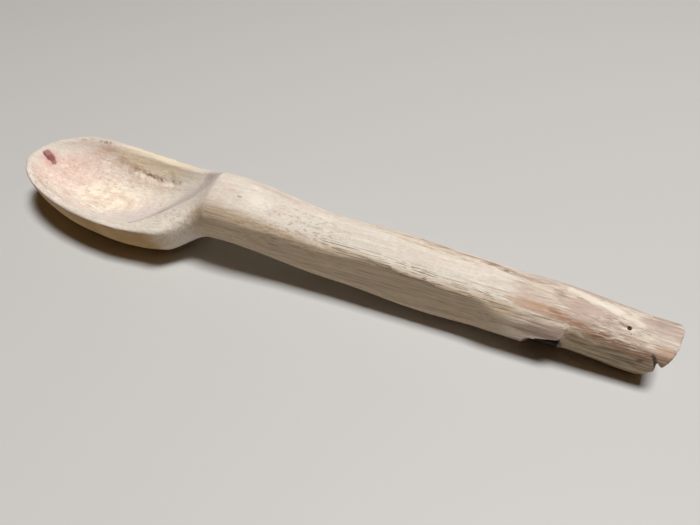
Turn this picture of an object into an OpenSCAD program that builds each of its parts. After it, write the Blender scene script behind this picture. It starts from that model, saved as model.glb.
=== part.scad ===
// A hand-whittled wooden spoon, lying as it rests on a table.
// It is one piece of branch: a hollowed bowl, a thick handle and, past a stop cut,
// a stub of branch that was never carved. Millimetres. +X runs from the bowl's tip
// to the butt and +Z is up. The origin is under the spoon's middle, on the table.

/* [Whole spoon] */
// Length from the bowl's tip to the sawn butt
spoon_l = 193; // [183:1:205]
// Roll of the bowl's rim towards the near side, in degrees
bowl_roll = 8; // [0:1:12]
// Roll of the handle's faces towards the near side, in degrees
handle_roll = 24; // [10:1:30]

/* [Bowl] */
// Width from the middle line to the far rim
far_half_w = 16.4; // [15:0.2:18]
// Width from the middle line to the near rim
near_half_w = 17.4; // [15:0.2:18]
// Height of the rim's middle above the table
rim_h = 15.2; // [14:0.2:16]
// Depth of the hollow below the rim
hollow_d = 9.2; // [6:0.2:10]
// Thickness of the rim
rim_t = 2.2; // [1.6:0.1:3]

/* [Handle] */
// Thickness across the handle's faces at the neck
neck_w = 17.4; // [15:0.2:19]
// Thickness across the handle's faces where the carving stops
grip_w = 15.6; // [14.6:0.2:17]
// Height of the handle's middle line at the neck
neck_h = 15.8; // [14.5:0.1:17]

/* [Stub] */
// Length of the stub that was left uncarved
stub_l = 25; // [18:0.5:30]
// How far the stub lies below the carved surface at the stop cut
stop_step = 1.6; // [0.8:0.1:2]
// Slant of the sawn butt, which is cut back under the branch, in degrees
butt_slant = 24; // [0:1:28]

/* [Bark remnant] */
// Length of the dark bark left under the stop cut
bark_l = 9; // [6:0.5:12]
// Depth of the pocket that the bark sits in
pocket_d = 2.6; // [1.8:0.1:3]

/* [Hidden] */

// Stations along the spoon, measured from the tip
far_peak = 19;
near_peak = 47;
belly_start = 36;
belly_end = 54;
bowl_end = 60;
neck_foot = 52;
neck_crest = 73.5;
neck_top = 77;
stop_at = spoon_l - stub_l;
bark_mid = stop_at + 1.1 - bark_l / 2;

// Squareness of the section: 2 is an ellipse, more is squarer
bowl_square = 2.3;
handle_square = 2.7;

// Sides of a section over its top and under its bottom
top_sides = 26;
low_sides = 26;
around = top_sides + low_sides;

// The hollow's back wall leans across the neck: its top edge at the middle line,
// how much it moves along for each millimetre across, and its run along the spoon
edge_mid = 65.5;
edge_slant = 0.78;
wall_run = 26;

// Height of the butt's top, which keeps its full length
butt_top = 14;

// The pocket lies on the near flank, down to its lower corner
pocket_angle = 199;
pocket_spread = 42;

// Wood worn off the belly, which leaves a small flat for the bowl to rest on
belly_wear = 0.5;

// The middle of the bowl's width, so that the origin is under it
middle_y = (far_half_w - near_half_w) / 2 * cos(bowl_roll);

function clamp01(t) = min(1, max(0, t));
function eased(t) = let (c = clamp01(t)) c * c * (3 - 2 * c);

// A smooth curve through [station, value] pairs, level at each of them
function along(pairs, s, i = 0) =
    s <= pairs[0][0] ? pairs[0][1] :
    i + 1 >= len(pairs) ? pairs[len(pairs) - 1][1] :
    s > pairs[i + 1][0] ? along(pairs, s, i + 1) :
    let (a = pairs[i], b = pairs[i + 1])
    a[1] + (b[1] - a[1]) * eased((s - a[0]) / (b[0] - a[0]));

// Rise of the bowl's outline from its tip to its widest station
function nose(s, widest, power) = pow(1 - pow(1 - clamp01(s / widest), 2), power);

// Half the thickness across the handle, before the stop cut
function handle_half(s) = along([
    [neck_top, neck_w / 2],
    [111, neck_w / 2 - 0.65],
    [127, neck_w / 2 - 0.3],
    [stop_at - 12, grip_w / 2],
    [spoon_l, grip_w / 2 - 0.5]
], s);

// Depth of the step at the stop cut, on the near flank and underneath
function stop_cut(s) = stop_step * eased((s - stop_at) / 1.4);

// Half-widths, height and depth of the section about its middle line
function far_half(s) = s < bowl_end
    ? far_half_w * nose(s, far_peak, 0.48) * along([[far_peak, 1], [bowl_end, 0.82]], s)
    : along([[bowl_end, far_half_w * 0.82], [neck_top - 2, neck_w / 2]], s)
        - neck_w / 2 + handle_half(s);
function near_half(s) = s < bowl_end
    ? near_half_w * nose(s, near_peak, 0.7) * along([[near_peak, 1], [bowl_end, 0.93]], s)
    : along([[bowl_end, near_half_w * 0.93], [neck_top - 6, neck_w / 2]], s)
        - neck_w / 2 + handle_half(s) - stop_cut(s);
function low_half(s) = s < neck_top
    ? along([[belly_end, rim_h + belly_wear], [neck_top - 7, neck_w / 2]], s) * nose(s, belly_start, 0.6)
    : handle_half(s) - stop_cut(s) / 2;

// The middle line's height and its sideways place
function mid_z(s) = along([
    [0, rim_h - 0.5],
    [22, rim_h],
    [bowl_end, rim_h],
    [neck_top - 1, neck_h],
    [111, 11.8],
    [142, 10],
    [stop_at - 5, 9.2],
    [spoon_l - 2, 6.8]
], s);
function mid_y(s) = along([[0, 0.9], [8, 0]], s) - middle_y;
function roll(s) = along([[bowl_end, bowl_roll], [neck_top, handle_roll]], s);
function square(s) = along([[neck_foot, bowl_square], [neck_top, handle_square]], s);

// Height of the section's top over its middle line, before the bowl is hollowed
function top_half(s) = handle_half(s) * pow(clamp01((s - neck_foot) / (neck_crest - neck_foot)), 1.8);

// Depth of the hollow below the rim at a share v of the half-width w
function hollow(s, v, w) =
    let (inner = max(0.05, 1 - rim_t / w), u = clamp01(abs(v) / inner))
    hollow_d * nose(s - rim_t, 35, 0.75) * pow(1 - pow(u, 2.2), 0.8);

// How far the section has left the hollow for the handle, from 0 to 1
function neck_share(s, y) = pow(clamp01(1 + (s - edge_mid - edge_slant * y) / wall_run), 1.3);

// One point of the section at station s, at the angle a round it, in its own frame
function own_point(s, a) =
    let (
        c = cos(a),
        power = 2 / square(s),
        w = c < 0 ? near_half(s) : far_half(s),
        v = sign(c) * pow(abs(c), power),
        y = w * v,
        round_part = pow(abs(sin(a)), power),
        k = neck_share(s, y)
    )
    a > 180 ? [y, -low_half(s) * round_part]
            : [y, k * top_half(s) * round_part - (1 - k) * hollow(s, v, w)];

// The pocket's depth: full over its middle, with steep sides
function pocket(s, a) =
    pocket_d * eased(4 * (1 - abs(s - bark_mid) / (bark_l / 2)))
             * eased(2.5 * (1 - abs(a - pocket_angle) / (pocket_spread / 2)));

// Moves a point at its station into the spoon's frame, leaning the stub's end back
function lean(p) =
    let (share = eased((p[0] - stop_at - 4) / (stub_l - 4)))
    [p[0] - spoon_l / 2 + share * tan(butt_slant) * (p[2] - butt_top), p[1], p[2]];

// The handle's near flank was split upright: no point stands out past this line.
// It starts behind the bowl and ends before the stop cut.
function near_flank(s) = along([
    [neck_foot, -2 * near_half_w],
    [neck_top, -8.9],
    [100, -7.4],
    [115, -6.9],
    [stop_at - 22, -6.9],
    [stop_at - 8, -8.6]
], s);

// The same point in the spoon's frame, sunk below the surface and never under the table
function place(s, a, sunk = 0) =
    let (
        p = own_point(s, a),
        q = p * (1 - sunk / max(1, norm(p))),
        r = roll(s),
        y = q[0] * cos(r) - q[1] * sin(r),
        z = q[0] * sin(r) + q[1] * cos(r)
    )
    lean([s, max(near_flank(s), mid_y(s) + y), max(0, mid_z(s) + z)]);

// Sections stand closer together at the tip, the neck and the stop cut
stations = concat(
    [for (i = [1 : 14]) 14 * pow(i / 14, 2)],
    [for (s = [16.5 : 2.5 : neck_foot - 2]) s],
    [for (s = [neck_foot : 1.25 : neck_top + 4]) s],
    [for (s = [neck_top + 8 : 4 : bark_mid - bark_l / 2 - 1]) s],
    [for (s = [bark_mid - bark_l / 2 : bark_l / 16 : stop_at - 0.2]) s],
    [for (s = [stop_at : 0.35 : stop_at + 1.5]) s],
    [for (s = [stop_at + 3.5 : 3 : spoon_l - 2]) s],
    [spoon_l - 0.7, spoon_l]
);

// Angle of point j round a section: along the top first, then underneath
function angle(j) = j <= top_sides
    ? 180 * j / top_sides
    : 180 + 180 * (j - top_sides) / low_sides;

// Middle of a ring of points
function middle(ring) = [for (k = [0 : 2]) [for (p = ring) p[k]] * [for (p = ring) 1] / len(ring)];

// Closed skin over rings of points, with a point at the middle of each end
module skin(rings, start, finish) {
    n = len(rings[0]);
    m = len(rings);
    points = concat([for (ring = rings) each ring], [start, finish]);
    sides = [
        for (i = [0 : m - 2])
            for (j = [0 : n - 1])
                let (a = i * n + j, b = i * n + (j + 1) % n)
                each [[a, a + n, b], [b, a + n, b + n]]
    ];
    ends = [
        for (j = [0 : n - 1])
            let (k = (j + 1) % n, last = (m - 1) * n)
            each [[j, k, m * n], [last + k, last + j, m * n + 1]]
    ];
    polyhedron(points, concat(sides, ends), convexity = 6);
}

module spoon() {
    worn = 0.5;
    rings = [
        for (s = stations)
            [for (j = [0 : around - 1]) place(s, angle(j), s == spoon_l ? worn : pocket(s, angle(j)))]
    ];
    tip = lean([0, mid_y(0), mid_z(0)]);
    butt = lean([spoon_l, mid_y(spoon_l), mid_z(spoon_l)]);
    color("blanchedalmond") skin(rings, tip, butt);
}

// The remnant shares the spoon's stations and angles, and fills the pocket to just
// below the carved surface with a thin gap under it
module bark_remnant() {
    proud = 0.55;
    gap = 0.05;
    reach = 0.8;
    spread = 0.8;
    lines = [for (j = [0 : around - 1]) if (abs(angle(j) - pocket_angle) < spread * pocket_spread / 2) j];
    rows = [for (s = stations) if (abs(s - bark_mid) < reach * bark_l / 2) s];
    rings = [
        for (s = rows)
            concat(
                [for (j = lines) place(s, angle(j), pocket(s, angle(j)) * proud)],
                [for (i = [len(lines) - 1 : -1 : 0])
                    let (a = angle(lines[i]))
                    place(s, a, pocket(s, a) - gap)]
            )
    ];
    last = len(rows) - 1;
    color("#2a211c") skin(rings, middle(rings[0]), middle(rings[last]));
}

spoon();
bark_remnant();
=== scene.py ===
import math
import random

import bmesh
import bpy
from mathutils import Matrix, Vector
from mathutils.bvhtree import BVHTree
from mathutils.kdtree import KDTree


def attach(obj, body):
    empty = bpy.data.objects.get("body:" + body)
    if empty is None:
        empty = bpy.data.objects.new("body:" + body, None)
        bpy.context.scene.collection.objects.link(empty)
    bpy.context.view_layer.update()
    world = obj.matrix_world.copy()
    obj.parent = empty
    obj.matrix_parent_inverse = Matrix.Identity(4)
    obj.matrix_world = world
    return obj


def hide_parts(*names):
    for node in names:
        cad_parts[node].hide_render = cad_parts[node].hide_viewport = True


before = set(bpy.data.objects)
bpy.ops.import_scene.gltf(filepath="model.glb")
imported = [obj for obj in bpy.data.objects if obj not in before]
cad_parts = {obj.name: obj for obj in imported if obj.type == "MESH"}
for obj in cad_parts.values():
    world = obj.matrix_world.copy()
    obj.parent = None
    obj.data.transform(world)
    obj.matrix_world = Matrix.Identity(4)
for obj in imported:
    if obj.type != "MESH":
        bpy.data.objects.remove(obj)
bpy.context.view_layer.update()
bpy.ops.object.select_all(action="DESELECT")

# ---------------------------------------------------------------------------
# Table and light. A plain pale table top, lit by one soft lamp high above it and to
# the right of the spoon, with weak warm light from all round.

MM = 0.001
TABLE_SIDE = 3.0
TABLE_GAP = 0.02 * MM
TABLE_COLOUR = (0.552, 0.556, 0.548)
TABLE_ROUGHNESS = 0.55
GLOW_COLOUR = (1.0, 0.47, 0.12)
GLOW_STRENGTH = 0.06
WALL_COLOUR = (0.50, 0.49, 0.47)
LAMP_PLACE = Vector((0.40, -0.012, 1.50))
LAMP_AIM = Vector((0.05, 0.0, 0.0))
LAMP_SIDE = 0.42
LAMP_WATTS = 26.5
LAMP_COLOUR = (1.0, 0.99, 0.975)

bpy.ops.mesh.primitive_grid_add(x_subdivisions=12, y_subdivisions=12, size=TABLE_SIDE, location=(0, 0, 0))
table = bpy.context.object
table.name = "table_top"
table.location.z = -TABLE_GAP

laminate = bpy.data.materials.new("table_laminate")
laminate.use_nodes = True
table_shader = laminate.node_tree.nodes["Principled BSDF"]
table_shader.inputs["Base Color"].default_value = (*TABLE_COLOUR, 1)
table_shader.inputs["Roughness"].default_value = TABLE_ROUGHNESS
table.data.materials.append(laminate)

world = bpy.data.worlds.new("room")
bpy.context.scene.world = world
world.use_nodes = True
room = world.node_tree
glow = room.nodes["Background"]
glow.inputs["Color"].default_value = (*GLOW_COLOUR, 1)
glow.inputs["Strength"].default_value = GLOW_STRENGTH

# What is seen past the table's edge is a plain pale wall, which gives no light
wall = room.nodes.new("ShaderNodeBackground")
wall.inputs["Color"].default_value = (*WALL_COLOUR, 1)
seen = room.nodes.new("ShaderNodeLightPath")
either = room.nodes.new("ShaderNodeMixShader")
room.links.new(seen.outputs["Is Camera Ray"], either.inputs[0])
room.links.new(glow.outputs[0], either.inputs[1])
room.links.new(wall.outputs[0], either.inputs[2])
room.links.new(either.outputs[0], room.nodes["World Output"].inputs["Surface"])

bpy.ops.object.light_add(type="AREA", location=LAMP_PLACE)
lamp = bpy.context.object
lamp.name = "ceiling"
lamp.rotation_euler = (LAMP_AIM - LAMP_PLACE).to_track_quat("-Z", "Y").to_euler()
lamp.data.shape = "RECTANGLE"
lamp.data.size = LAMP_SIDE
lamp.data.size_y = LAMP_SIDE
lamp.data.energy = LAMP_WATTS
lamp.data.color = LAMP_COLOUR

# The camera stands close to the handle's near side and looks down over it at the bowl
CAMERA_PLACE = (0.06475, -0.1126, 0.1115)
CAMERA_TILT = 50
CAMERA_TURN = 23.4
CAMERA_LENS = 30.857
CAMERA_SENSOR = 36
bpy.ops.object.camera_add(
    location=CAMERA_PLACE,
    rotation=(math.radians(CAMERA_TILT), 0, math.radians(CAMERA_TURN)),
)
camera = bpy.context.object
camera.name = "camera"
camera.data.sensor_fit = "HORIZONTAL"
camera.data.sensor_width = CAMERA_SENSOR
camera.data.lens = CAMERA_LENS
camera.data.clip_start = 0.005
bpy.context.scene.camera = camera
bpy.context.scene.view_settings.view_transform = "Standard"

# ---------------------------------------------------------------------------
# The spoon's wood. One length of branch, split, axed and knifed to shape, its bowl
# dug with a hook knife. The last stretch past the stop cut was never carved.

SKIN_VOXEL = 0.45 * MM
BLUR_ROUNDS = 4
MERGE_GAP = 0.001 * MM

bpy.ops.object.select_all(action="DESELECT")
cad_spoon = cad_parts["spoon"]
spoon = bpy.data.objects.new("spoon_wood", cad_spoon.data.copy())
bpy.context.scene.collection.objects.link(spoon)
bpy.context.view_layer.objects.active = spoon
spoon.select_set(True)
bpy.ops.object.mode_set(mode="EDIT")
bpy.ops.mesh.select_all(action="SELECT")
bpy.ops.mesh.remove_doubles(threshold=MERGE_GAP)
bpy.ops.mesh.tris_convert_to_quads()
bpy.ops.mesh.normals_make_consistent(inside=False)
bpy.ops.object.mode_set(mode="OBJECT")

skin = spoon.modifiers.new("skin", "REMESH")
skin.mode = "VOXEL"
skin.voxel_size = SKIN_VOXEL
bpy.ops.object.modifier_apply(modifier="skin")
blur = spoon.modifiers.new("blur", "SMOOTH")
blur.factor = 0.5
blur.iterations = BLUR_ROUNDS
bpy.ops.object.modifier_apply(modifier="blur")


def refine(piece, place, reach, cuts):
    """Splits the faces within reach of a place, so that small details have points to move."""
    bpy.ops.object.mode_set(mode="EDIT")
    bpy.ops.mesh.select_mode(type="FACE")
    bpy.ops.mesh.select_all(action="DESELECT")
    net = bmesh.from_edit_mesh(piece.data)
    for face in net.faces:
        face.select = (face.calc_center_median() - Vector(place) * MM).length < reach * MM
    bmesh.update_edit_mesh(piece.data)
    bpy.ops.mesh.subdivide(number_cuts=cuts, smoothness=0)
    bpy.ops.object.mode_set(mode="OBJECT")


# The knife blended the shoulder between the bowl and the handle
BLEND_MIDDLE = Vector((-29, -9, 15))
BLEND_REACH = 6.0
BLEND_ROUNDS = 20
bpy.ops.object.mode_set(mode="EDIT")
bpy.ops.mesh.select_mode(type="VERT")
bpy.ops.mesh.select_all(action="DESELECT")
net = bmesh.from_edit_mesh(spoon.data)
for vert in net.verts:
    vert.select = (vert.co - BLEND_MIDDLE * MM).length < BLEND_REACH * MM
net.select_flush(True)
bmesh.update_edit_mesh(spoon.data)
bpy.ops.mesh.vertices_smooth(factor=0.5, repeat=BLEND_ROUNDS)
bpy.ops.object.mode_set(mode="OBJECT")

# The skin is finer where the small details are cut
HOLE = (85.0, -2.4, 14.3)
SPLIT = (92.6, -5.9, 8.2)
LIP_MIDDLE = (68.8, -6.8, 7.4)
refine(spoon, HOLE, 1.6, 3)
refine(spoon, SPLIT, 4.5, 1)
refine(spoon, LIP_MIDDLE, 5.0, 1)

points = [v.co / MM for v in spoon.data.vertices]
tree = KDTree(len(points))
for i, p in enumerate(points):
    tree.insert(p, i)
tree.balance()
surface = BVHTree.FromPolygons(points, [f.vertices[:] for f in spoon.data.polygons])


def ramp(value, low, high):
    """0 below low, 1 above high, smooth between."""
    t = min(1, max(0, (value - low) / (high - low)))
    return t * t * (3 - 2 * t)


def near(place, reach):
    """The skin's points within reach of a place, in millimetres."""
    return [i for _, i, _ in tree.find_range(Vector(place), reach)]


OUTSIDE = 60


def on_skin(x, height, lean):
    """The skin's point and normal seen from the middle line at x, looking out at an angle round it."""
    out = Vector((0, math.cos(math.radians(lean)), math.sin(math.radians(lean))))
    start = Vector((x, 0, height)) + out * OUTSIDE
    place, normal, _, _ = surface.ray_cast(start, -out)
    return place, normal


def knife_cut(place, normal, depth, reach):
    """Shaves off what stands just above a plane set under the skin, fading out along the blade.
    What stands more than twice the depth above it, in a hollow, is left alone."""
    for i in near(place, reach):
        p = points[i]
        above = (p - place).dot(normal) + depth
        shaved = min(above, 2 * depth - above)
        if shaved > 0:
            fade = 1 - ((p - place).length / reach) ** 2
            points[i] = p - normal * shaved * ramp(fade, 0, 0.75)


def gouge(place, normal, depth, radius):
    """Presses a ball-shaped scoop into the skin."""
    middle = place + normal * (radius - depth)
    for i in near(place, radius):
        away = points[i] - middle
        if 0.2 * radius < away.length < radius:
            points[i] = middle + away * (radius / away.length)


# Knife facets run along the outside of the bowl. Each row is an angle round it, where its
# cuts start and end along the spoon, the step between them and their depth.
BOWL_CUTS = [
    (-14, -84, -40, 9, 0.20), (-30, -86, -36, 8, 0.24), (-48, -82, -34, 9, 0.26),
    (-66, -80, -36, 10, 0.24), (-98, -80, -36, 11, 0.22), (-122, -84, -34, 10, 0.26),
    (-144, -86, -34, 9, 0.26), (-162, -84, -36, 9, 0.22),
]
BOWL_MIDDLE_HEIGHT = 12
BOWL_BLADE = 9
rng = random.Random(7)
for lean, first, last, step, depth in BOWL_CUTS:
    x = first
    while x < last:
        place, normal = on_skin(x, BOWL_MIDDLE_HEIGHT, lean + rng.uniform(-4, 4))
        if place is not None:
            tilt = Vector((rng.uniform(-0.03, 0.03), rng.uniform(-0.05, 0.05), rng.uniform(-0.05, 0.05)))
            knife_cut(place, (normal + tilt).normalized(), depth * rng.uniform(0.6, 1.2), BOWL_BLADE)
        x += step * rng.uniform(0.8, 1.2)

# Longer cuts run down the handle's corners and faces. Each pair is an angle and a depth.
# The handle's middle line sinks on its way from the neck to the stub.
HANDLE_CUTS = [
    (69, 0.14), (24, 0.08), (-21, 0.20), (-66, 0.10),
    (-111, 0.18), (-156, 0.10), (159, 0.12), (110, 0.05),
]
HANDLE_CUTS_FROM = -22
HANDLE_CUTS_TO = 62
HANDLE_CUT_STEP = 13
HANDLE_BLADE = 11
NECK_X = -16
NECK_HEIGHT = 15.8
HANDLE_RUN = 84
HANDLE_SINK = 6.6
for lean, depth in HANDLE_CUTS:
    x = HANDLE_CUTS_FROM
    while x < HANDLE_CUTS_TO:
        along = (x - NECK_X) / HANDLE_RUN
        height = NECK_HEIGHT - HANDLE_SINK * min(1, max(0, along))
        place, normal = on_skin(x, height, lean + rng.uniform(-5, 5))
        if place is not None:
            tilt = Vector((rng.uniform(-0.01, 0.01), rng.uniform(-0.04, 0.04), rng.uniform(-0.04, 0.04)))
            knife_cut(place, (normal + tilt).normalized(), depth * rng.uniform(0.6, 1.3), HANDLE_BLADE)
        x += HANDLE_CUT_STEP * rng.uniform(0.8, 1.2)

# Hook-knife strokes curve round inside the bowl, following its rim. Each ring of strokes is
# a share of the hollow's size and a depth.
HOLLOW_RINGS = [(0.84, 0.10), (0.72, 0.13), (0.58, 0.12), (0.42, 0.10), (0.24, 0.10), (0.08, 0.08)]
HOLLOW_MIDDLE = (-66, 0.3)
HOLLOW_REACH = (25.5, 13.2)
HOLLOW_TOP = 15.2
STROKE_TURN = 9
STROKE_RADIUS = 8
ABOVE = 40
for share, depth in HOLLOW_RINGS:
    for turn in range(0, 360, STROKE_TURN):
        a = math.radians(turn + rng.uniform(-3, 3))
        x = HOLLOW_MIDDLE[0] + HOLLOW_REACH[0] * share * math.cos(a)
        y = HOLLOW_MIDDLE[1] + HOLLOW_REACH[1] * share * math.sin(a)
        place, normal, _, _ = surface.ray_cast(Vector((x, y, ABOVE)), Vector((0, 0, -1)))
        if place is not None and place.z < HOLLOW_TOP:
            gouge(place, normal, depth * rng.uniform(0.4, 1.3), STROKE_RADIUS)

# The stop cut ends the near flank in a scalloped lip, and the wood past it lies deeper. Each
# pair is a height and how far along the spoon the lip stands there.
LIP = [
    (0.0, 63.8), (3.0, 64.6), (7.7, 66.3), (9.0, 69.8),
    (9.3, 70.8), (10.6, 72.4), (12.0, 72.9), (14.5, 72.5),
]
LIP_AREA = (69, -5, 6)
LIP_AREA_REACH = 14
LIP_EDGE = 0.45
LIP_TOP = 14.2
LIP_END = 74.5
LIP_SINK = Vector((0, 0.92, 0.38)) * 1.45
STOP_X = 71.5


def lip_x(z):
    """How far along the spoon the lip stands at a height."""
    for (z0, x0), (z1, x1) in zip(LIP, LIP[1:]):
        if z < z1:
            return x0 + (x1 - x0) * max(0, z - z0) / (z1 - z0)
    return LIP[-1][1]


# How far each point is darkened: near black under the stop cut's lip, and painted shade inside the split
dark_lip_and_split_shade_shares = {}
for i in near(LIP_AREA, LIP_AREA_REACH):
    p = points[i]
    if p.y < -1.0 and p.z < LIP_TOP and p.x < LIP_END:
        past = ramp(p.x, lip_x(p.z), lip_x(p.z) + LIP_EDGE)
        still_up = 1 - ramp(p.x, STOP_X, STOP_X + 1.4)
        upper = 1 - ramp(p.z, 12.8, LIP_TOP)
        covered = 0.35 + 0.65 * ramp(p.z, 4.5, 7.0)
        points[i] = p + LIP_SINK * past * still_up * upper * covered
        dark_lip_and_split_shade_shares[i] = past * (1 - ramp(p.x, STOP_X - 0.3, STOP_X + 0.9)) * (1 - ramp(p.z, 9.0, 10.4))

# A beetle's exit hole, and the split that opened in the butt as it dried
HOLE_REACH = 0.62
HOLE_SINK = Vector((0.1, 0.25, -0.96)) * 1.5
for i in near(HOLE, HOLE_REACH):
    off = (points[i] - Vector(HOLE)).length
    points[i] = points[i] + HOLE_SINK * (1 - ramp(off, 0.28, 0.52))

SPLIT_START = Vector((91.0, -5.6, 11.0))
SPLIT_END = Vector((93.2, -6.0, 7.0))
SPLIT_REACH = 6.5
SPLIT_OVERRUN = 1.8
SPLIT_SINK = Vector((-0.15, 0.95, 0.25)) * 1.7
split_run = SPLIT_END - SPLIT_START
split_across = split_run.cross(Vector((0, -1, 0))).normalized()
for i in near(SPLIT, SPLIT_REACH):
    p = points[i]
    t = (p - SPLIT_START).dot(split_run) / split_run.length_squared
    if 0 < t < SPLIT_OVERRUN and p.y < -1:
        off = abs((p - SPLIT_START - split_run * t).dot(split_across))
        width = 0.3 + 0.9 * min(1, t)
        opened = min(1, t) * (1 - ramp(off, 0.1 * width, width))
        points[i] = p + SPLIT_SINK * opened
        # painted shade inside the split
        dark_lip_and_split_shade_shares[i] = min(1, 1.3 * opened)

# The wood was worked across its end grain at the shoulder, which left fine ripples
SHOULDER = Vector((-29, -9.5, 14.5))
SHOULDER_REACH = 9
RIPPLE_SPACING = 1.9
RIPPLE_LIFT = Vector((0, -0.5, 0.87)) * 0.035
for i in near(SHOULDER, SHOULDER_REACH):
    p = points[i]
    fade = 1 - ramp((p - SHOULDER).length, 3, SHOULDER_REACH)
    drift = 0.6 * math.sin(p.y * 0.9) + 0.5 * math.sin(p.z * 1.3 + p.x * 0.4)
    wave = math.sin((p.x * 0.9 + p.y * 0.5) * 2 * math.pi / RIPPLE_SPACING + drift)
    points[i] = p + RIPPLE_LIFT * fade * wave

# Under the far wall the knife tore the grain and left a ragged ledge with a crease below it
CREASE = [
    (-63.5, 11.5, 12.2), (-58.8, 10.8, 11.6), (-54.7, 10.2, 11.2),
    (-50.7, 10.1, 11.5), (-43.5, 9.8, 12.4),
]
CREASE_REACH = 2.4
CREASE_LIFT = Vector((0, -0.35, 0.93))
for start, end in zip(CREASE, CREASE[1:]):
    run = Vector(end) - Vector(start)
    for i in near((Vector(start) + Vector(end)) / 2, run.length / 2 + CREASE_REACH):
        p = points[i]
        t = (p - Vector(start)).dot(run) / run.length_squared
        if 0 <= t < 1:
            ragged = 0.5 * math.sin(p.x * 2.1) + 0.3 * math.sin(p.x * 4.7 + 1)
            across = p.y - (start[1] + run.y * t) + 0.4 * ragged
            ends = ramp(p.x, -63.5, -60) * (1 - ramp(p.x, -47, -43.5))
            ledge = 0.22 * math.exp(-((across + 1.3) / 0.9) ** 2) - 0.34 * math.exp(-(across / 0.6) ** 2)
            points[i] = p + CREASE_LIFT * ledge * ends

for v, p in zip(spoon.data.vertices, points):
    v.co = p * MM
spoon.data.update()
dark_lip_and_split_shade = spoon.data.attributes.new("dark_lip_and_split_shade", "FLOAT", "POINT")
for i, share in dark_lip_and_split_shade_shares.items():
    dark_lip_and_split_shade.data[i].value = share

bpy.ops.object.select_all(action="DESELECT")
spoon.select_set(True)
bpy.context.view_layer.objects.active = spoon
bpy.ops.object.mode_set(mode="EDIT")
bpy.ops.mesh.select_all(action="SELECT")
bpy.ops.mesh.normals_make_consistent(inside=False)
bpy.ops.object.mode_set(mode="OBJECT")
bpy.ops.object.shade_smooth()


class Value:
    """A socket in a finish's nodes. Maths on it adds Math nodes."""

    def __init__(self, finish, socket):
        self.finish = finish
        self.socket = socket

    def maths(self, operation, *others):
        inputs = {0: self, **dict(enumerate(others, 1))}
        return self.finish.node("ShaderNodeMath", {"operation": operation}, inputs)

    def __add__(self, other):
        return self.maths("ADD", other)

    __radd__ = __add__

    def __mul__(self, other):
        return self.maths("MULTIPLY", other)

    __rmul__ = __mul__

    def __sub__(self, other):
        return self.maths("SUBTRACT", other)

    def __rsub__(self, other):
        return self.finish.node("ShaderNodeMath", {"operation": "SUBTRACT"}, {0: other, 1: self})


class Finish:
    """A procedural finish on a piece's own coordinates, in millimetres."""

    def __init__(self, name):
        self.material = bpy.data.materials.new(name)
        self.material.use_nodes = True
        self.tree = self.material.node_tree
        self.shader = self.tree.nodes["Principled BSDF"]
        metres = self.node("ShaderNodeTexCoord", {}, {}, "Object")
        self.place = self.vector_maths("SCALE", {0: metres, "Scale": 1 / MM})

    def node(self, kind, settings, inputs, out=0):
        made = self.tree.nodes.new(kind)
        for name, value in settings.items():
            setattr(made, name, value)
        for key, value in inputs.items():
            if isinstance(value, Value):
                self.tree.links.new(value.socket, made.inputs[key])
            else:
                made.inputs[key].default_value = value
        return Value(self, made.outputs[out])

    def vector_maths(self, operation, inputs, out="Vector"):
        return self.node("ShaderNodeVectorMath", {"operation": operation}, inputs, out)

    def part(self, vector, axis):
        """One of a vector's three numbers."""
        return self.node("ShaderNodeSeparateXYZ", {}, {"Vector": vector}, axis)

    def steps(self, value, low, high):
        """0 below low, 1 above high, smooth between; high may be the lower of the two."""
        return self.node("ShaderNodeMapRange", {"interpolation_type": "SMOOTHSTEP"},
                         {"Value": value, "From Min": low, "From Max": high})

    def noise(self, scale, detail=3, stretch=(1, 1, 1), rough=0.55):
        stretched = self.vector_maths("MULTIPLY", {0: self.place, 1: stretch})
        return self.node("ShaderNodeTexNoise", {},
                         {"Vector": stretched, "Scale": scale, "Detail": detail, "Roughness": rough})

    def warped(self, amount, scale):
        """The place shifted by a slow noise, so that a stain's edge wanders."""
        inputs = {"Vector": self.place, "Scale": scale, "Detail": 2}
        wander = self.node("ShaderNodeTexNoise", {}, inputs, "Color")
        centred = self.vector_maths("SUBTRACT", {0: wander, 1: (0.5, 0.5, 0.5)})
        shift = self.vector_maths("SCALE", {0: centred, "Scale": amount})
        return self.vector_maths("ADD", {0: self.place, 1: shift})

    def spot(self, where, centre, size, soft=0.6):
        """1 inside an egg-shaped patch, falling to 0 at its edge."""
        offset = self.vector_maths("SUBTRACT", {0: where, 1: centre})
        share = self.vector_maths("DIVIDE", {0: offset, 1: size})
        far = self.vector_maths("LENGTH", {0: share}, "Value")
        return self.steps(far, 1, 1 - soft)

    def streak(self, where, start, end, width, soft=0.8):
        """1 along a line from start to end, falling to 0 at its width."""
        run = Vector(end) - Vector(start)
        offset = self.vector_maths("SUBTRACT", {0: where, 1: start})
        dot = self.vector_maths("DOT_PRODUCT", {0: offset, 1: tuple(run / run.length_squared)}, "Value")
        t = self.node("ShaderNodeClamp", {}, {"Value": dot})
        along = self.vector_maths("SCALE", {0: tuple(run), "Scale": t})
        away = self.vector_maths("SUBTRACT", {0: offset, 1: along})
        far = self.vector_maths("LENGTH", {0: away}, "Value")
        return self.steps(far, width, width * (1 - soft))

    def mix(self, share, under, over):
        """Colour under, with over laid on it by share."""
        return self.node("ShaderNodeMix", {"data_type": "RGBA"}, {0: share, 6: under, 7: over}, 2)


def tint(code):
    """A colour from its usual hex code, made linear."""
    parts = [int(code[k:k + 2], 16) / 255 for k in (0, 2, 4)]
    return (*[c / 12.92 if c <= 0.04045 else ((c + 0.055) / 1.055) ** 2.4 for c in parts], 1)


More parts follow.
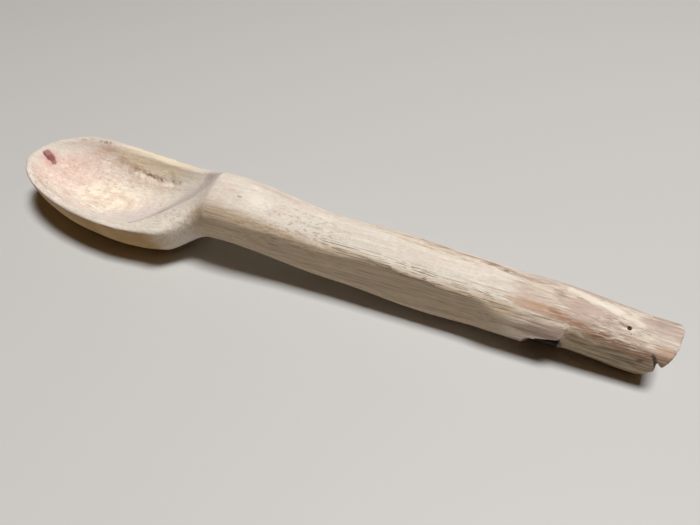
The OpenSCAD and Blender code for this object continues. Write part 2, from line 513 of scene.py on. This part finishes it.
wood = Finish("carved_branch_wood")
here = wood.place
loose = wood.warped(5.0, 0.22)
wavy = wood.warped(1.3, 0.55)
grained = wood.warped(1.4, 0.08)
torn = wood.warped(2.2, 0.30)
frayed = wood.warped(0.8, 0.7)
x_at = wood.part(here, "X")
facing = wood.node("ShaderNodeNewGeometry", {}, {}, "Normal")
up = wood.part(facing, "Z")
ahead = wood.part(facing, "X")

# Grain: long fibres down the handle, a finer one between them, and cloudy patches
fibre = wood.noise(1.0, 4, (0.045, 1.1, 1.1), 0.6)
fine_fibre = wood.noise(1.0, 3, (0.10, 3.6, 3.6), 0.65)
broken = wood.steps(wood.noise(1.0, 3, (0.16, 2.6, 2.6), 0.6), 0.40, 0.58)
tufts = wood.steps(wood.noise(1.1, 4, (0.7, 1.2, 1.2), 0.7), 0.42, 0.56)
cloud = wood.noise(0.16, 4, (0.45, 1, 1))
mottle = wood.noise(0.55, 4, (0.6, 1, 1), 0.6)
speckle = wood.noise(2.4, 3)
pores = wood.noise(1.0, 3, (0.9, 2.2, 2.2), 0.6)

colour = wood.mix(wood.steps(fibre, 0.35, 0.68), tint("e0dace"), tint("d3cabd"))
colour = wood.mix(wood.steps(fine_fibre, 0.48, 0.72) * 0.45, colour, tint("bfb1a0"))
colour = wood.mix(wood.steps(cloud, 0.45, 0.68) * 0.55, colour, tint("d8c7bf"))
colour = wood.mix(wood.steps(mottle, 0.52, 0.70) * 0.40, colour, tint("ece5d6"))
colour = wood.mix(wood.steps(pores, 0.54, 0.68) * 0.35, colour, tint("bcae9d"))
colour = wood.mix(wood.steps(pores, 0.44, 0.32) * 0.40, colour, tint("f0e9dc"))

# Single dark fibres show up as long thin lines
threads = wood.steps(wood.noise(1.0, 2, (0.035, 4.0, 4.0), 0.5), 0.55, 0.62)

# The split near flank of the handle is browner, partly its own wood and partly painted shade on its
# upright face, with darker lines along the fibres
aside = wood.steps(wood.part(facing, "Y"), -0.45, -0.85)
near_flank_tone_and_shade = aside * wood.steps(x_at, -32, -24)
colour = wood.mix(near_flank_tone_and_shade * 0.55, colour, tint("b8986c"))
colour = wood.mix(near_flank_tone_and_shade * wood.steps(fine_fibre, 0.50, 0.66) * 0.40, colour, tint("8d7762"))
colour = wood.mix(near_flank_tone_and_shade * threads * 0.35, colour, tint("75604b"))

# The bowl: blushed pink at the tip, creamy in the middle, lavender-grey by the neck,
# with a tan far wall laid pale as painted light on its shaded slope, and pale crossing marks where the
# hook knife turned
inside = wood.spot(here, (-66, 0.2, 17), (29.5, 15.8, 12.5), 0.10)
blotch = wood.noise(0.24, 5, (1, 1, 1), 0.65)
veins = wood.noise(0.8, 4, (0.5, 1.0, 1.0), 0.7)
crumbs = wood.noise(1.3, 4, (0.6, 1.0, 1.0), 0.7)
blush = wood.spot(loose, (-84, 5, 13), (21, 14, 14), 0.9)
cream = wood.spot(loose, (-67, 1, 7), (17, 9, 7), 0.8)
lavender = wood.spot(loose, (-49, -5, 10), (17, 11, 8), 0.8)
near_wall = wood.spot(loose, (-64, -12, 10), (22, 5, 7), 0.8)
far_wall_tan_and_light = wood.spot(loose, (-54, 14, 15.5), (20, 5.2, 5.6), 0.5)
colour = wood.mix(inside * 0.75, colour, tint("e9dccf"))
colour = wood.mix(inside * blush * 0.65, colour, tint("dfbbb2"))
colour = wood.mix(inside * cream * 0.60, colour, tint("f2e6cf"))
colour = wood.mix(inside * wood.steps(blotch, 0.46, 0.58) * 0.55, colour, tint("d8bfac"))
colour = wood.mix(inside * cream * wood.steps(blotch, 0.56, 0.44) * 0.70, colour, tint("f5ecd8"))
colour = wood.mix(near_wall * 0.50, colour, tint("f3e8e2"))
colour = wood.mix(lavender * 0.60, colour, tint("ddd2d5"))
colour = wood.mix(inside * wood.steps(veins, 0.54, 0.68) * 0.45, colour, tint("b08f7c"))
colour = wood.mix(inside * wood.steps(veins, 0.44, 0.34) * 0.65, colour, tint("f8f2e6"))
colour = wood.mix(inside * wood.steps(crumbs, 0.56, 0.66) * 0.35, colour, tint("a98a78"))
colour = wood.mix(inside * wood.steps(crumbs, 0.42, 0.34) * 0.55, colour, tint("fbf6ec"))
# Painted light: the far wall's tan is laid paler than its wood, for light on its shaded slope; its lines
# are its own grain
colour = wood.mix(far_wall_tan_and_light * 0.75, colour, tint("eee0c6"))
wall_lines = wood.steps(wood.noise(1.0, 3, (0.06, 1.5, 2.4), 0.6), 0.50, 0.66)
colour = wood.mix(far_wall_tan_and_light * wall_lines * 0.50, colour, tint("cdb48c"))

# The hook knife left fine arcs that follow the near rim
from_middle = wood.vector_maths("SUBTRACT", {0: wavy, 1: (-64, 2, 12)})
along_x = wood.part(from_middle, "X")
along_y = wood.part(from_middle, "Y")
flattened = wood.node("ShaderNodeCombineXYZ", {}, {"X": along_x * 0.56, "Y": along_y})
ring = wood.vector_maths("LENGTH", {0: flattened}, "Value")
turned = along_y.maths("ARCTAN2", along_x)
ring_place = wood.node("ShaderNodeCombineXYZ", {}, {"X": ring * 1.5, "Y": turned * 1.6})
arcs = wood.node("ShaderNodeTexNoise", {}, {"Vector": ring_place, "Scale": 1.0, "Detail": 3})
arc_zone = inside * wood.steps(along_y, -3, -8)
colour = wood.mix(arc_zone * wood.steps(arcs, 0.54, 0.66) * 0.40, colour, tint("bba79c"))
colour = wood.mix(arc_zone * wood.steps(arcs, 0.48, 0.36) * 0.70, colour, tint("f8f3ee"))

# Fine torn grain over the shoulder beside the bowl
shoulder_zone = wood.spot(here, (-33, -9.5, 14.5), (13, 8, 6.5), 0.6)
colour = wood.mix(shoulder_zone * wood.steps(crumbs, 0.52, 0.64) * 0.50, colour, tint("b7a08a"))
colour = wood.mix(shoulder_zone * wood.steps(crumbs, 0.44, 0.34) * 0.50, colour, tint("f5eee0"))

# The outside of the bowl stayed tan
outer = wood.steps(x_at, -30, -40) * wood.steps(up, 0.20, -0.10)
colour = wood.mix(outer * 0.85, colour, tint("b8904f"))
colour = wood.mix(outer * wood.steps(cloud, 0.44, 0.60) * 0.45, colour, tint("987544"))

# Painted shade: the cut face that climbs out of the bowl to the handle faces away from the lamp and is
# painted grey-violet beside its top edge
y_at = wood.part(here, "Y")
past_crest = wood.steps(y_at - 0.62 * x_at, 14.6, 16.2)
climb_face_shade = wood.steps(ahead, -0.15, -0.45) * wood.spot(here, (-34, 3, 18), (14, 17, 13), 0.30) * past_crest
colour = wood.mix(climb_face_shade * 0.55, colour, tint("b3a8a6"))

# Each stain is its kind, the place that it follows, its shape, how soft its edge is, its
# colour and its share. A spot's shape is its middle and size, and a line's is its two ends
# and its width.
CRACK = ((-0.3, -8.2, 13.0), (11.0, -7.8, 11.0))
STAINS = [
    # the sliver of red heartwood and its halo, near the tip
    ("spot", wavy, (-91.2, 4.8, 13.2), (4.6, 4.2, 3.8), 0.95, "c68a84", 0.60),
    ("streak", frayed, (-92.7, 5.5, 14.3), (-90.8, 4.9, 13.1), 1.45, 0.45, "8f5152", 0.80),
    ("streak", frayed, (-91.4, 5.1, 13.5), (-89.3, 4.1, 12.1), 0.95, 0.45, "84474a", 0.75),
    ("streak", frayed, (-93.5, 5.0, 14.6), (-91.2, 4.1, 13.0), 0.55, 0.7, "6d3236", 0.70),
    # marks on the far rim, and the bruised patches below it
    ("tear", torn, (-84.0, 14.0, 16.6), (-80.6, 14.7, 17.0), 1.0, 0.9, "93794f", 0.60),
    ("tear", torn, (-77.8, 15.0, 17.1), (-74.4, 14.8, 16.9), 1.0, 0.9, "6b5239", 0.65),
    ("spot", torn, (-74.4, 13.6, 15.4), (5.4, 2.2, 2.4), 0.95, "bd8f7c", 0.50),
    ("spot", torn, (-68.5, 12.2, 13.4), (4.6, 2.6, 2.6), 0.9, "a58063", 0.55),
    ("spot", torn, (-64.0, 11.6, 12.4), (3.6, 2.4, 2.4), 0.9, "b8957a", 0.55),
    # the torn crease under the far wall, its torn grain painted dark brown together with painted shade in
    # the crease, and red streaks below it
    ("tear", torn, (-62.6, 11.6, 12.2), (-57.0, 10.9, 11.6), 1.2, 0.95, "8d6e48", 0.75),
    ("tear", torn, (-58.0, 10.7, 11.4), (-50.7, 10.2, 11.4), 1.3, 0.95, "80613f", 0.85),
    ("tear", torn, (-51.5, 10.3, 11.7), (-43.5, 9.9, 12.4), 0.9, 0.95, "8f7862", 0.65),
    ("tear", torn, (-54.3, 8.9, 10.3), (-47.0, 8.6, 10.8), 0.9, 0.95, "b97f70", 0.60),
    ("tear", torn, (-48.5, 8.2, 10.6), (-42.0, 8.2, 12.0), 0.8, 0.95, "a57c72", 0.55),
    ("tear", torn, (-66.0, 8.6, 10.4), (-59.0, 8.2, 9.6), 1.1, 0.95, "c09a7e", 0.50),
    # painted shade: grey-violet streaks beside the crest of the neck, broadest at its far end
    ("streak", wavy, (-45.0, -13.2, 13.0), (-39.0, -6.8, 13.9), 0.65, 0.9, "8d8187", 0.60),
    ("streak", wavy, (-39.5, -7.0, 13.9), (-34.6, -2.6, 15.9), 1.0, 0.9, "867b82", 0.70),
    ("streak", wavy, (-35.6, -2.4, 15.8), (-30.4, 2.2, 18.8), 2.0, 0.9, "857a81", 0.75),
    ("streak", wavy, (-31.4, 2.0, 18.6), (-26.4, 7.0, 22.4), 2.6, 0.9, "857a80", 0.75),
    # small marks on the handle's top
    ("streak", torn, (-19.2, -2.4, 23.8), (-15.0, -1.5, 23.8), 0.8, 0.9, "cf9a8e", 0.55),
    ("spot", torn, (-14.3, -2.8, 23.4), (1.1, 0.5, 0.7), 0.7, "6e5a50", 0.70),
    ("spot", loose, (-9.0, -3.0, 23.0), (7.0, 3.4, 3.0), 0.9, "f0e9dc", 0.55),
    ("streak", wavy, (-15.0, 2.6, 23.6), (10.0, 3.0, 21.8), 1.8, 0.95, "c3aba1", 0.50),
    # the dark lines that run along the ridge
    ("fibre", grained, (13.7, -5.7, 17.4), (29.3, -6.7, 16.4), 0.55, 0.9, "6f5d4d", 0.90),
    ("fibre", grained, (26.0, -6.6, 16.4), (43.3, -7.3, 14.4), 0.60, 0.9, "685545", 0.95),
    ("fibre", grained, (38.0, -7.2, 14.8), (55.5, -7.1, 13.6), 0.45, 0.9, "77634f", 0.85),
    ("fibre", grained, (20.0, -5.2, 17.2), (46.0, -5.7, 15.6), 0.50, 0.9, "8d7765", 0.75),
    ("streak", grained, (25.0, -6.3, 16.6), (41.0, -6.8, 14.9), 0.22, 0.9, "5f4c3c", 0.70),
    ("streak", grained, (36.0, -7.7, 14.2), (50.0, -7.5, 13.3), 0.22, 0.9, "6b5744", 0.60),
    ("fibre", grained, (34.0, -4.0, 17.2), (60.0, -3.6, 16.2), 0.50, 0.9, "a8917e", 0.60),
    ("fibre", grained, (2.0, -7.2, 17.0), (24.0, -7.2, 16.0), 0.70, 0.9, "978471", 0.65),
    ("streak", grained, (16.0, -7.0, 16.2), (40.0, -7.9, 13.6), 0.55, 0.9, "efe6d6", 0.60),
    # a drying crack in the near flank, and faint lines beside it
    ("streak", here, *CRACK, 0.25, 0.9, "5b4535", 0.75),
    ("fibre", grained, (-14.0, -8.4, 13.6), (4.0, -8.2, 12.0), 0.45, 0.9, "7a6654", 0.65),
    ("fibre", grained, (14.0, -8.0, 12.6), (32.0, -7.8, 11.0), 0.45, 0.9, "7e6a56", 0.60),
    # warm streaks down the far edge
    ("fibre", grained, (20.0, 3.2, 20.8), (42.0, 3.5, 18.8), 1.1, 0.9, "b3854f", 0.90),
    ("fibre", grained, (34.0, 4.6, 18.6), (58.3, 2.8, 18.0), 1.2, 0.9, "94704b", 0.90),
    ("fibre", grained, (28.0, 1.6, 19.8), (50.0, 1.0, 18.6), 0.7, 0.9, "c09a6c", 0.75),
    ("fibre", grained, (52.0, 2.2, 18.0), (69.0, 0.9, 17.3), 1.1, 0.9, "8a6b58", 0.85),
    ("spot", torn, (56.3, 1.9, 17.9), (1.0, 0.5, 0.8), 0.8, "6f543f", 0.70),
    # the knot on the stub
    ("spot", torn, (68.6, 0.6, 17.3), (2.4, 1.0, 1.2), 0.8, "6f452d", 0.80),
    ("streak", torn, (62.0, 1.4, 17.6), (67.5, 0.8, 17.3), 0.8, 0.9, "86715f", 0.65),
]


def lay(base, stains):
    """Lays stains on a colour. A fibre is a streak broken up along the grain, and a tear is tufted."""
    for kind, where, *shape, soft, code, share in stains:
        mask = wood.spot(where, *shape, soft) if kind == "spot" else wood.streak(where, *shape, soft)
        if kind == "fibre":
            mask = mask * broken
        if kind == "tear":
            mask = mask * tufts
        base = wood.mix(mask * share, base, tint(code))
    return base


colour = lay(colour, STAINS)

# The handle's top has scattered grey flecks
fleck_zone = wood.spot(here, (4, -3.5, 20), (19, 6.5, 5.5), 0.7)
flecks = wood.steps(wood.noise(1.1, 4, (0.55, 1, 1), 0.7), 0.51, 0.62) * fleck_zone
colour = wood.mix(flecks * 0.50, colour, tint("857a6e"))

# Threads gather along the near ridge, and warmer ones down the far edge
ridge = wood.streak(here, (12, -5.2, 17.4), (58, -6.0, 14.8), 2.6, 0.7)
colour = wood.mix(ridge * threads * 0.75, colour, tint("6f5c4b"))
far_edge = wood.streak(here, (18, 3.4, 20.6), (70, 2.2, 17.4), 2.6, 0.7)
colour = wood.mix(far_edge * threads * 0.65, colour, tint("9b774f"))

# The stub: weathered pink-grey with cream patches, brown along its near ridge, olive on its flank
wander_x = wood.part(loose, "X")
raw = wood.steps(wander_x, 56.5, 62.5)
weathered = wood.noise(1.0, 5, (0.09, 1.0, 1.0), 0.7)
patches = wood.noise(1.0, 4, (0.10, 0.42, 0.42), 0.6)
raw_colour = wood.mix(wood.steps(patches, 0.44, 0.58), tint("e2d6c6"), tint("c2ac9e"))
raw_colour = wood.mix(wood.steps(weathered, 0.48, 0.66) * 0.60, raw_colour, tint("9c8275"))
raw_colour = wood.mix(wood.steps(fine_fibre, 0.50, 0.70) * 0.45, raw_colour, tint("857063"))
raw_colour = wood.mix(threads * 0.50, raw_colour, tint("765f50"))
colour = wood.mix(raw * 0.85, colour, raw_colour)
stub_flank = wood.steps(x_at, 71.4, 72.4) * wood.steps(up, 0.50, 0.15)
olive = wood.mix(wood.steps(weathered, 0.42, 0.60), tint("b8a283"), tint("7a654a"))
colour = wood.mix(stub_flank * 0.80, colour, olive)
STUB_STAINS = [
    ("spot", loose, (63.5, -3.0, 16.4), (7.0, 4.0, 3.4), 0.9, "b79c8c", 0.60),
    ("spot", loose, (91.5, 0.6, 14.4), (6.5, 5.0, 4.0), 0.9, "a59088", 0.55),
    ("spot", loose, (76.0, -2.0, 15.8), (7.0, 2.6, 3.0), 0.9, "bfa89d", 0.55),
    ("fibre", grained, (58.0, -4.4, 15.8), (70.0, -4.6, 15.2), 1.5, 0.9, "bb9877", 0.75),
    ("streak", torn, (60.1, -5.2, 15.0), (71.4, -5.4, 14.4), 0.9, 0.9, "b88f6c", 0.50),
    ("fibre", grained, (68.0, -5.0, 14.8), (81.0, -5.3, 12.4), 1.8, 0.9, "96705a", 0.90),
    ("streak", torn, (70.0, -5.5, 14.2), (80.0, -5.6, 12.2), 0.8, 0.9, "a87d5c", 0.60),
    ("fibre", grained, (79.0, -5.2, 12.7), (93.0, -5.8, 10.0), 2.0, 0.9, "84604d", 0.90),
    ("streak", torn, (80.0, -5.9, 11.8), (90.0, -6.2, 9.4), 0.9, 0.9, "99725a", 0.60),
    ("streak", torn, (73.2, -6.2, 12.3), (80.0, -6.3, 10.6), 0.50, 0.8, "dccab0", 0.75),
    ("fibre", grained, (73.0, -6.2, 9.6), (88.0, -6.0, 6.6), 1.2, 0.9, "665038", 0.85),
    ("spot", torn, (93.6, -4.8, 12.0), (4.0, 2.4, 2.4), 0.9, "b88b6c", 0.60),
    ("spot", torn, (88.6, -6.0, 8.7), (1.4, 0.9, 1.0), 0.8, "6d4535", 0.75),
    ("streak", wavy, (71.0, 2.2, 17.1), (82.0, 0.4, 15.7), 1.5, 0.8, "ece3d6", 0.80),
    ("streak", wavy, (80.0, 0.8, 16.0), (88.0, -0.8, 14.6), 1.0, 0.8, "e8ddd0", 0.70),
    # painted shade: the beetle hole is painted near black inside
    ("spot", here, HOLE, (0.62, 0.62, 1.4), 0.45, "2a1a12", 0.95),
    ("streak", torn, (82.6, -1.8, 14.8), (84.8, -2.3, 14.4), 0.4, 0.9, "7d5a45", 0.60),
    ("spot", here, (85.6, -3.6, 13.8), (0.35, 0.3, 0.4), 0.6, "5a3f30", 0.75),
    # painted shade: a dark line down the open split
    ("streak", here, tuple(SPLIT_START), tuple(SPLIT_END), 0.7, 0.9, "4a3122", 0.70),
    ("streak", torn, (90.0, 3.3, 14.6), (96.2, 3.2, 14.3), 0.7, 0.9, "857a70", 0.65),
]
colour = lay(colour, STUB_STAINS)

# The wood under the stop cut's lip is darkened to near black, and the split's inside is painted dark as
# painted shade
dark_share = wood.node("ShaderNodeAttribute", {"attribute_name": "dark_lip_and_split_shade"}, {}, "Fac")
colour = wood.mix(wood.steps(dark_share, 0.2, 0.8) * 0.92, colour, tint("2a1b11"))

wood.tree.links.new(colour.socket, wood.shader.inputs["Base Color"])

roughness = 0.58 + 0.16 * fibre + 0.10 * mottle - 0.14 * raw * wood.steps(weathered, 0.55, 0.35)
wood.tree.links.new(roughness.socket, wood.shader.inputs["Roughness"])
wood.shader.inputs["Specular IOR Level"].default_value = 0.35

crack_line = wood.streak(here, *CRACK, 0.3, 0.9)
relief = 0.09 * fibre + 0.05 * fine_fibre + 0.04 * speckle + 0.06 * mottle
relief = relief + inside * (0.16 * veins + 0.14 * crumbs)
relief = relief + arc_zone * 0.14 * arcs + shoulder_zone * 0.16 * crumbs
relief = relief + raw * 0.24 * weathered - 0.25 * crack_line
bump = wood.node("ShaderNodeBump", {}, {"Height": relief, "Strength": 0.9, "Distance": 0.0012}, "Normal")
wood.tree.links.new(bump.socket, wood.shader.inputs["Normal"])

spoon.data.materials.clear()
spoon.data.materials.append(wood.material)
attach(spoon, "root")
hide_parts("spoon")

# ---------------------------------------------------------------------------
# The bark_remnant part. A near-black flake set in the hollow under the stop cut's
# lip.

FLAKE_VOXEL = 0.15 * MM
FLAKE_ROUGHNESS = 0.85

lip_flake = bpy.data.objects.new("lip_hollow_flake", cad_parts["bark_remnant"].data.copy())
bpy.context.scene.collection.objects.link(lip_flake)
bpy.ops.object.select_all(action="DESELECT")
lip_flake.select_set(True)
bpy.context.view_layer.objects.active = lip_flake
bpy.ops.object.mode_set(mode="EDIT")
bpy.ops.mesh.select_all(action="SELECT")
bpy.ops.mesh.remove_doubles(threshold=MERGE_GAP)
bpy.ops.object.mode_set(mode="OBJECT")
crumble = lip_flake.modifiers.new("crumble", "REMESH")
crumble.mode = "VOXEL"
crumble.voxel_size = FLAKE_VOXEL
bpy.ops.object.modifier_apply(modifier="crumble")
bpy.ops.object.shade_smooth()

flake_finish = Finish("near_black_flake")
flake = flake_finish.noise(0.9, 5, (0.4, 1, 1), 0.7)
flake_colour = flake_finish.mix(flake_finish.steps(flake, 0.4, 0.7), tint("1c130d"), tint("3d2a1c"))
flake_finish.tree.links.new(flake_colour.socket, flake_finish.shader.inputs["Base Color"])
flake_bump_inputs = {"Height": flake, "Strength": 1.0, "Distance": 0.0006}
flake_relief = flake_finish.node("ShaderNodeBump", {}, flake_bump_inputs, "Normal")
flake_finish.tree.links.new(flake_relief.socket, flake_finish.shader.inputs["Normal"])
flake_finish.shader.inputs["Roughness"].default_value = FLAKE_ROUGHNESS
lip_flake.data.materials.clear()
lip_flake.data.materials.append(flake_finish.material)
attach(lip_flake, "root")
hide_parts("bark_remnant")
